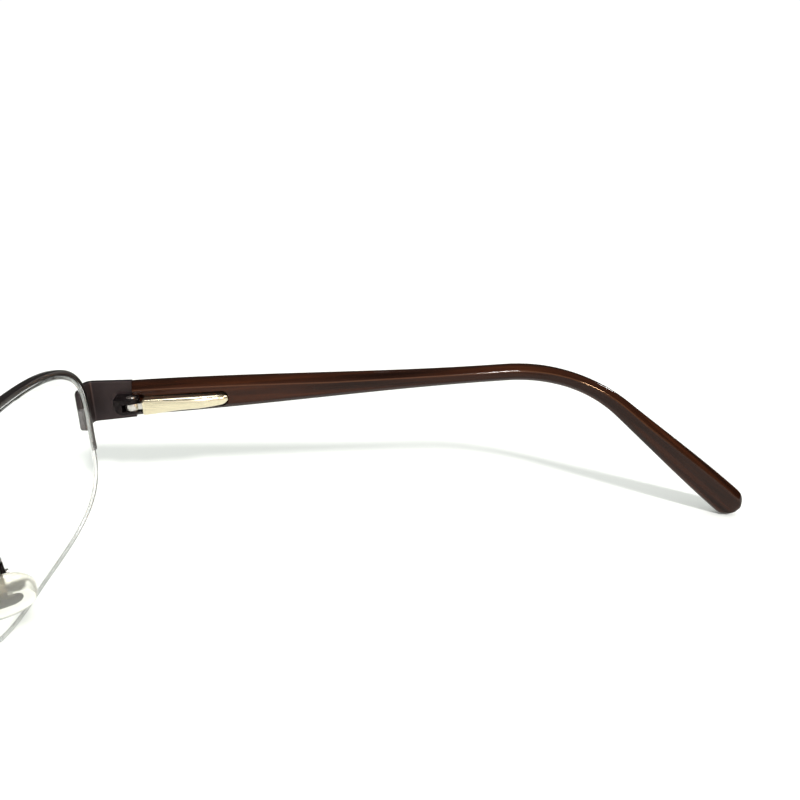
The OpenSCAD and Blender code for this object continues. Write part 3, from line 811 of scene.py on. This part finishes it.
def build_pad(name, side):
    """Soft drop-shaped pad with a crowned face, a rounded rim and a raised collar at its back."""
    around = 64
    profile = [(0.0, 0.18), (0.24, 0.18), (0.36, 0.15), (0.46, 0.05), (0.6, 0.0), (0.8, -0.12),
               (0.92, -0.34), (0.985, -0.7), (1.0, -1.1), (0.985, -1.45), (0.93, -1.8),
               (0.82, -2.05), (0.62, -2.24), (0.35, -2.36), (0.0, -2.4)]

    def outline(a, k):
        c, s = math.cos(a), math.sin(a)
        narrow = 1 - 0.1 * s
        y = math.copysign(abs(c) ** 0.87, c) * PAD_W / 2 * narrow
        z = math.copysign(abs(s) ** 0.9, s) * PAD_L / 2
        return y * k, z * k

    rings = [[pad_to_wear((x, *outline(2 * math.pi * j / around, k))) for j in range(around)]
             for k, x in profile[1:-1]]
    verts, faces = loft(rings, closed_ends=False)
    close_with_hubs(verts, faces, around, [pad_to_wear((profile[i][1], 0, 0)) for i in (0, -1)])
    obj = new_piece(name + "_pad_soft", verts, faces, side, name + "_pad", SILICONE, 60)
    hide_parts(name + "_nose_pad")


def build_pad_arm(name, side):
    """One bent wire from the rim's back, over and down to the pad box."""
    leg, corner = 2.6, 1.5
    span = PAD_MID + (PAD_T / 2 + PAD_BOX_BACK) * PAD_OUT - PAD_ARM_START
    ahead = Vector((0, math.cos(PAD_ARM_RISE), math.sin(PAD_ARM_RISE)))
    forward = ahead * span.dot(ahead)
    across = span - forward
    top = ahead * (leg + corner)
    corners = [PAD_ARM_START + step for step in (Vector(), top, top + across, forward + across)]
    verts, faces = tube(rounded_path(corners, corner * 1.15), PAD_ARM_R, 18)
    obj = new_piece(name + "_pad_wire", verts, faces, side, "root", RIM_METAL, 60)
    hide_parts(name + "_pad_arm")


# ---------- pieces kept from the CAD model ----------


def finish_cad(node, material, bevel):
    """Gives a CAD node its material and, where bevel isn't 0, softer edges."""
    obj = frame["nodes"][node]
    obj.data.materials.clear()
    obj.data.materials.append(material)
    shade(obj, 35)
    if bevel:
        if "weld" not in obj.modifiers:
            add_weld(obj)
        add_bevel(obj, bevel)


def round_insert(name, side):
    """Rounds the upright corners of the plate inside the pad, which show through the silicone."""
    obj = frame["nodes"][name + "_pad_lug"]
    back = WEAR.inverted()
    unturn = PAD_TURN.inverted()

    def in_pad(vertex):
        p = back @ (obj.matrix_world @ vertex.co) / MM
        p.x *= side
        return unturn @ (p - PAD_MID - PAD_T / 2 * PAD_OUT)

    points = [in_pad(v) for v in obj.data.vertices]
    weights = []
    for edge in obj.data.edges:
        a, b = (points[i] for i in edge.vertices)
        at_corner = all(abs(p.y) > 2.0 and abs(p.z) > 1.0 for p in (a, b))
        through = abs(a.x - b.x) > 0.3 and (a - b).length < 0.6
        weights.append(1.0 if at_corner and through else 0.0)
    layer = obj.data.attributes.new("bevel_weight_edge", "FLOAT", "EDGE")
    layer.data.foreach_set("value", weights)
    add_weld(obj)
    add_bevel(obj, 1.0, 6).limit_method = "WEIGHT"


def squash_spring(name, side):
    """Gives the coil spring a mesh of its own. The real coil shortens against its bush as the rod is drawn
    out of the casing; this does not shorten it.
    """
    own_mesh(frame["nodes"][name + "_hinge_spring"])


# node, slot, material and bevel width of each piece
CAD_FINISHES = (
    ("hinge_fork", "hinge_metal", HINGE_METAL, 0.07),
    ("hinge_screw", "steel", STEEL, 0.04),
    ("hinge_washers", "steel", STEEL, 0.0),
    ("hinge_tongue", "steel", STEEL, 0.05),
    ("spring_retainer", "brass", BRASS, 0.04),
    ("hinge_spring", "steel", STEEL, 0.0),
    ("spring_bush", "brass", BRASS, 0.04),
    ("rim_liner", "clear_nylon", NYLON, 0.0),
    ("pad_box", "hinge_metal", HINGE_METAL, 0.08),
    ("pad_screw", "steel", STEEL, 0.04),
    ("pad_lug", "steel", INSERT, 0.06),
)


build_bridge()
for side_name, side_sign in SIDES.items():
    for build in (build_lens, build_eyewire, build_cord, build_end_piece, build_casing, build_temple,
                  build_core_wire, build_pad, build_pad_arm, round_insert, squash_spring):
        build(side_name, side_sign)
    for part, slot_name, paint, edge in CAD_FINISHES:
        finish_cad(f"{side_name}_{part}", paint, edge)


# ---------- floor, light and camera ----------


def build_floor():
    """Matt white floor, a hair below the tips and lenses."""
    size = 3.0
    mesh = bpy.data.meshes.new("floor")
    mesh.from_pydata([(-size, -size, 0), (size, -size, 0), (size, size, 0), (-size, size, 0)], [],
                     [(0, 1, 2, 3)])
    floor = bpy.data.objects.new("floor", mesh)
    floor.location.z = -0.1 * MM
    bpy.context.scene.collection.objects.link(floor)
    m = Shader("floor_white", Roughness=0.6, Specular_IOR_Level=0.0)
    m.link(m.ramp(m.noise(6, 2), [(0.3, (0.89, 0.9, 0.89, 1)), (0.7, (0.92, 0.92, 0.915, 1))]),
           m.bsdf.inputs["Base Color"])
    mesh.materials.append(m.material)


def build_world():
    """White behind the object, an even pale light on it, and a dim room in its reflections."""
    world = bpy.data.worlds.new("studio")
    bpy.context.scene.world = world
    world.use_nodes = True
    nodes, links = world.node_tree.nodes, world.node_tree.links
    path = nodes.new("ShaderNodeLightPath")
    white = nodes["Background"]
    white.inputs["Color"].default_value = (1, 1, 1, 1)
    white.inputs["Strength"].default_value = 1.05
    even = nodes.new("ShaderNodeBackground")
    even.inputs["Color"].default_value = (0.87, 0.9, 0.86, 1)
    room = nodes.new("ShaderNodeBackground")
    coord = nodes.new("ShaderNodeTexCoord")
    split = nodes.new("ShaderNodeSeparateXYZ")
    links.new(coord.outputs["Generated"], split.inputs["Vector"])
    levels = []
    for axis, low, high, dim, bright in (("Z", 0.2, 1.0, 0.02, 0.25), ("X", 0.7, 0.97, 0.0, 1.3)):
        glow = nodes.new("ShaderNodeMapRange")
        for key, value in (("From Min", low), ("From Max", high), ("To Min", dim), ("To Max", bright)):
            glow.inputs[key].default_value = value
        links.new(split.outputs[axis], glow.inputs["Value"])
        levels.append(glow.outputs["Result"])
    total = nodes.new("ShaderNodeMath")
    for level, socket in zip(levels, total.inputs):
        links.new(level, socket)
    links.new(total.outputs[0], room.inputs["Strength"])
    shader = white.outputs["Background"]
    for ray, other in (("Is Diffuse Ray", even), ("Is Glossy Ray", room)):
        mix = nodes.new("ShaderNodeMixShader")
        links.new(path.outputs[ray], mix.inputs["Fac"])
        links.new(shader, mix.inputs[1])
        links.new(other.outputs["Background"], mix.inputs[2])
        shader = mix.outputs["Shader"]
    links.new(shader, nodes["World Output"].inputs["Surface"])


def add_light(name, kind, direction, distance=0.8, **settings):
    """A light seen in a direction from the object, aimed back at it."""
    light = bpy.data.lights.new(name, kind)
    for key, value in settings.items():
        setattr(light, key, value)
    obj = bpy.data.objects.new(name, light)
    toward = Vector(direction).normalized()
    obj.location = toward * distance
    obj.rotation_euler = (-toward).to_track_quat("-Z", "Y").to_euler()
    bpy.context.scene.collection.objects.link(obj)
    return obj


def build_lights():
    add_light("key", "SUN", (1.16, 0.3, 1.0), energy=2.6, angle=math.radians(6),
              color=(1.0, 0.985, 0.96))
    # softboxes that show only as reflections
    for name, direction, size, power, color in (
            ("overhead", (-0.2, -0.15, 0.97), 0.26, 1.8, (1, 1, 1)),
            ("back", (-0.2, 0.78, 0.58), 0.1, 3.0, (1, 1, 1)),
            ("warm", (0.53, 0.68, 0.46), 0.14, 7.0, (1, 0.62, 0.36))):
        box = add_light(name, "AREA", direction, shape="DISK", size=size, energy=power, color=color)
        box.visible_diffuse = False
        box.visible_transmission = False


def build_camera():
    """Near the wearer's left temple, looking across to the inside of the right one."""
    eye = Vector((76.113, 47.486, 51.892))
    ahead = Vector((-0.93658, 0.10611, -0.33399))
    right = Vector((0.1235, 0.99186, -0.03119))
    up = right.cross(ahead)
    camera = bpy.data.cameras.new("camera")
    camera.sensor_width = 36.0
    camera.lens = 35.07
    camera.clip_start = 0.005
    obj = bpy.data.objects.new("camera", camera)
    turn = Matrix((right, up, -ahead)).transposed()
    obj.matrix_world = WEAR @ Matrix.Translation(eye * MM) @ turn.to_4x4()
    bpy.context.scene.collection.objects.link(obj)
    bpy.context.scene.camera = obj


build_floor()
build_world()
build_lights()
build_camera()
bpy.context.scene.view_settings.view_transform = "Standard"
